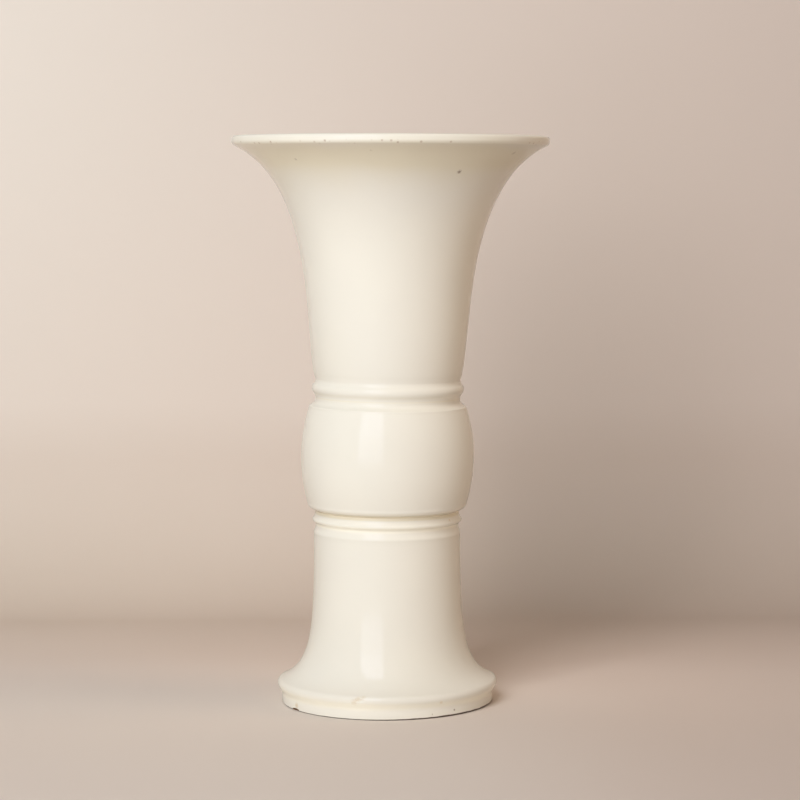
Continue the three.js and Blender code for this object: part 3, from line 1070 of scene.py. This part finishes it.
class GUVASE_OT_lute_seams(Operator):
    """Spin the two rings of slip that join the sections"""
    bl_idname = "gu_vase.lute_seams"
    bl_label = "Lute Seams"

    def execute(self, context):
        scene = context.scene
        joint = scene.gu_joint
        _, lower, upper, _ = joints(joint)
        looks = finishes(scene)
        inside = joint.bore_radius + SLIP_REACH
        lower_groove = scene.gu_foot.groove_radius
        upper_groove = scene.gu_neck.groove_radius
        # The lower seam's outside takes thick glaze lightened by painted glow; the upper seam's a little
        # gathered glaze.
        for name, node, bottom, top, groove, depth in (
            ("lower_seam", "lower_luting_seam", FOOT_HIGH.z, BELLY_LOW.z, lower_groove, 2),
            ("upper_seam", "upper_luting_seam", BELLY_HIGH.z, NECK_LOW.z, upper_groove, 0.15),
        ):
            piece = spin_piece(name, seam_profile(bottom, top, groove, joint))
            coat_with_painted_light(piece, Ring((bottom + top) / 2, width=top - bottom, amount=depth))
            lean_piece(piece, lower, upper)
            dress(piece, looks["cream_glaze"], looks["fired_slip"])
            finish_piece(piece, node)
            paint_faces(piece, BARE, lambda middle: math.hypot(middle.x, middle.y) < inside)
        return {"FINISHED"}


class GUVASE_OT_set_floor(Operator):
    """Spin the floor disc of the vase, glazed above and bare below"""
    bl_idname = "gu_vase.set_floor"
    bl_label = "Set Floor"

    def execute(self, context):
        scene = context.scene
        piece = spin_piece("floor_disc", disc_profile(scene.gu_floor))
        coat_with_painted_light(piece)
        looks = finishes(scene)
        dress(piece, looks["cream_glaze"], looks["bare_biscuit"])
        finish_piece(piece, "base_disc")
        middle_level = (DISC_LOW.z + DISC_HIGH.z) / 2
        paint_faces(piece, BARE, lambda middle: middle.z < middle_level)
        return {"FINISHED"}


class GUVASE_OT_fill_corner(Operator):
    """Spin the fillet of slip under the floor"""
    bl_idname = "gu_vase.fill_corner"
    bl_label = "Fill Corner"

    def execute(self, context):
        scene = context.scene
        piece = spin_piece("floor_fillet", fillet_profile(scene.gu_floor))
        dress(piece, finishes(scene)["fired_slip"])
        finish_piece(piece, "base_luting_seam")
        return {"FINISHED"}


class GUVASE_OT_lay_stage(Operator):
    """Lay the sweep, hang the lights and set up the camera"""
    bl_idname = "gu_vase.lay_stage"
    bl_label = "Lay Stage"

    def execute(self, context):
        studio = context.scene.gu_studio
        lay_sweep(studio)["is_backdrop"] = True
        hang_lights(studio)
        light_world(context.scene, studio)
        set_up_camera(context.scene, studio)
        context.scene.view_settings.view_transform = "Standard"
        return {"FINISHED"}


# Studio

STAGE_WIDTH = 8
STAGE_HEIGHT = 3.5
KEY_AZIMUTH = -21.7
KEY_DISTANCE = 1.2
KEY_WIDTH = 0.7
KEY_TOP = 2.1
KEY_SKIRT_TOP = 0.38

# How fast the painted shade of the sweep's corner fades away from the corner.
FLOOR_RATE = 2
WALL_RATE = 4


def select_edges(piece, test):
    """Selects, in edit mode, the edges whose two ends pass a test."""
    bpy.ops.mesh.select_all(action="DESELECT")
    mesh = bmesh.from_edit_mesh(piece.data)
    for edge in mesh.edges:
        edge.select_set(all(test(end.co) for end in edge.verts))
    bmesh.update_edit_mesh(piece.data)


def lay_sweep(studio):
    """Floor and backdrop in one sheet, with a round between them; it shows from its upper side only."""
    bpy.ops.object.select_all(action="DESELECT")
    middle = (0, studio.wall_distance - STAGE_WIDTH / 2, 0)
    bpy.ops.mesh.primitive_plane_add(size=STAGE_WIDTH, location=middle)
    bpy.ops.object.transform_apply(location=True)
    sheet = bpy.context.object
    sheet.name = "sweep"
    bpy.ops.object.mode_set(mode="EDIT")
    bpy.ops.mesh.select_mode(type="EDGE")
    back = studio.wall_distance - MERGE_DISTANCE
    select_edges(sheet, lambda end: end.y > back)
    bpy.ops.mesh.extrude_edges_move(TRANSFORM_OT_translate={"value": (0, 0, STAGE_HEIGHT)})
    select_edges(sheet, lambda end: end.y > back and end.z < STAGE_HEIGHT / 2)
    bpy.ops.mesh.bevel(offset=studio.sweep_round, segments=40, affect="EDGES")
    bpy.ops.mesh.select_mode(type="VERT")
    bpy.ops.object.mode_set(mode="OBJECT")
    bpy.ops.object.shade_smooth()
    sheet.data.materials.append(sweep_material(studio))
    return sheet


def sweep_material(studio):
    """A plain pale sheet with painted shade darkening its corner and a painted pool of light at the front
    left, clear from behind.
    """
    material, tree, shader = principled("painted_sweep", Roughness=0.9)
    parts = object_parts(tree)
    # Painted shade, strongest at the corner and fading along the floor and up the backdrop.
    in_front = math_node(tree, "SUBTRACT", studio.wall_distance, parts["Y"])
    along_floor = math_node(tree, "MULTIPLY", in_front, FLOOR_RATE)
    upwards = math_node(tree, "MULTIPLY", parts["Z"], WALL_RATE)
    from_corner = math_node(tree, "ADD", along_floor, upwards)
    mottle = fit_range(tree, object_noise(tree, scale=5, detail=5), 0.3, 0.7, -0.02, 0.02)
    clear_of_corner_shade = fit_range(tree, math_node(tree, "ADD", from_corner, mottle), 0.05, 0.45, 0, 1, smooth=False)
    behind = mix_colours(tree, clear_of_corner_shade, studio.painted_corner_shade, studio.sweep_colour)
    # A painted pool of light on the floor at the front, fading to the right.
    forward = fit_range(tree, in_front, 0.17, 0.32, 0, 1)
    leftward = fit_range(tree, parts["X"], 0.14, 0, 0.2, 1)
    front = math_node(tree, "MULTIPLY", forward, leftward)
    tree.links.new(mix_colours(tree, front, behind, studio.painted_front_light), shader.inputs["Base Color"])
    behind_it = add_node(tree, "ShaderNodeNewGeometry").outputs["Backfacing"]
    clear = add_node(tree, "ShaderNodeBsdfTransparent").outputs["BSDF"]
    mix_surfaces(tree, behind_it, shader.outputs["BSDF"], clear, "Material Output")
    return material


def hang_light(name, place, target, size, watts, rgb, beam=HALF_TURN, mirrored=True):
    """A soft panel that faces a target and doesn't show itself; unless mirrored, no gloss reflects it."""
    facing = (Vector(target) - Vector(place)).to_track_quat("-Z", "Y")
    bpy.ops.object.light_add(type="AREA", location=place, rotation=facing.to_euler())
    panel = bpy.context.object
    panel.name = name
    panel.data.shape = "RECTANGLE"
    panel.data.size, panel.data.size_y = size
    panel.data.energy = watts
    panel.data.color = rgb
    panel.data.spread = beam
    panel.visible_camera = False
    panel.visible_glossy = mirrored


def hang_lights(studio):
    for name, bottom, top, watts in (
        ("key_box", KEY_SKIRT_TOP, KEY_TOP, studio.key_power),
        ("key_skirt", 0, KEY_SKIRT_TOP, studio.skirt_power),
    ):
        level = (bottom + top) / 2
        hang_light(
            name, place=round_about(KEY_AZIMUTH, KEY_DISTANCE, level), target=(0, 0, level),
            size=(KEY_WIDTH, top - bottom), watts=watts, rgb=WHITE,
        )
    hang_light(
        "fill_panel", place=(0.5, -0.1, 0.45), target=(0, 0, 0.15),
        size=(0.4, 0.4), watts=studio.fill_power, rgb=(1, 0.75, 0.52),
        beam=math.radians(60), mirrored=False,
    )
    hang_light(
        "shadow_wash", place=(0.62, -0.1, 0.5), target=(0.1, studio.wall_distance, 0.16),
        size=(0.3, 0.4), watts=studio.shadow_power, rgb=(1, 0.86, 0.74),
        beam=math.radians(26), mirrored=False,
    )
    hang_light(
        "backdrop_wash", place=(-0.75, -0.35, 0.7), target=(-0.3, studio.wall_distance, 0.3),
        size=(0.3, 0.5), watts=studio.wash_power, rgb=(0.68, 0.95, 1),
        beam=math.radians(50), mirrored=False,
    )


def light_world(scene, studio):
    """Even light from all round; behind the sweep the camera sees its colour."""
    world = bpy.data.worlds.new("studio_air")
    world.use_nodes = True
    scene.world = world
    tree = world.node_tree
    air = tree.nodes["Background"]
    set_inputs(air, Strength=studio.air_strength)
    seen = set_inputs(add_node(tree, "ShaderNodeBackground"), Color=opaque(studio.sweep_colour), Strength=1)
    camera_ray = add_node(tree, "ShaderNodeLightPath").outputs["Is Camera Ray"]
    mix_surfaces(tree, camera_ray, air.outputs["Background"], seen.outputs["Background"], "World Output")


def set_up_camera(scene, studio):
    place = (studio.camera_side, -studio.camera_distance, studio.camera_height)
    bpy.ops.object.camera_add(location=place)
    camera = bpy.context.object
    aim = Matrix.Rotation(QUARTER_TURN - studio.camera_pitch, 3, "X")
    roll = Matrix.Rotation(studio.camera_roll, 3, "Z")
    camera.rotation_euler = (aim @ roll).to_euler()
    camera.data.sensor_width = 36
    camera.data.lens = studio.focal_length
    scene.camera = camera


# Panel and registration

class VIEW3D_PT_gu_vase(Panel):
    """The steps of making the vase, and its settings"""
    bl_label = "Gu Vase"
    bl_idname = "VIEW3D_PT_gu_vase"
    bl_space_type = "VIEW_3D"
    bl_region_type = "UI"
    bl_category = "Gu Vase"

    def draw(self, context):
        for step in STEPS:
            self.layout.operator(step.bl_idname)
        for name, group in SETTINGS.items():
            box = self.layout.box()
            box.label(text=group.__name__)
            for setting in group.__annotations__:
                box.prop(getattr(context.scene, name), setting)


SETTINGS = {
    "gu_joint": JointSizes,
    "gu_foot": FootSizes,
    "gu_belly": BellySizes,
    "gu_neck": NeckSizes,
    "gu_floor": FloorSizes,
    "gu_glaze": GlazeFinish,
    "gu_studio": StudioSettings,
}

STEPS = (
    GUVASE_OT_throw_foot,
    GUVASE_OT_throw_belly,
    GUVASE_OT_throw_neck,
    GUVASE_OT_lute_seams,
    GUVASE_OT_set_floor,
    GUVASE_OT_fill_corner,
    GUVASE_OT_lay_stage,
)


def register():
    for group in SETTINGS.values():
        bpy.utils.register_class(group)
    for step in STEPS:
        bpy.utils.register_class(step)
    bpy.utils.register_class(VIEW3D_PT_gu_vase)
    for name, group in SETTINGS.items():
        setattr(bpy.types.Scene, name, PointerProperty(type=group))


def unregister():
    for name in SETTINGS:
        delattr(bpy.types.Scene, name)
    bpy.utils.unregister_class(VIEW3D_PT_gu_vase)
    for step in reversed(STEPS):
        bpy.utils.unregister_class(step)
    for group in reversed(SETTINGS.values()):
        bpy.utils.unregister_class(group)


def main():
    register()
    bpy.ops.gu_vase.throw_foot()
    bpy.ops.gu_vase.throw_belly()
    bpy.ops.gu_vase.throw_neck()
    bpy.ops.gu_vase.lute_seams()
    bpy.ops.gu_vase.set_floor()
    bpy.ops.gu_vase.fill_corner()
    bpy.ops.gu_vase.lay_stage()
    boxes = {"cad": CAD_BOX, "visual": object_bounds()}
    {name: [list(corner) for corner in box] for name, box in boxes.items()}


if __name__ == "__main__":
    main()
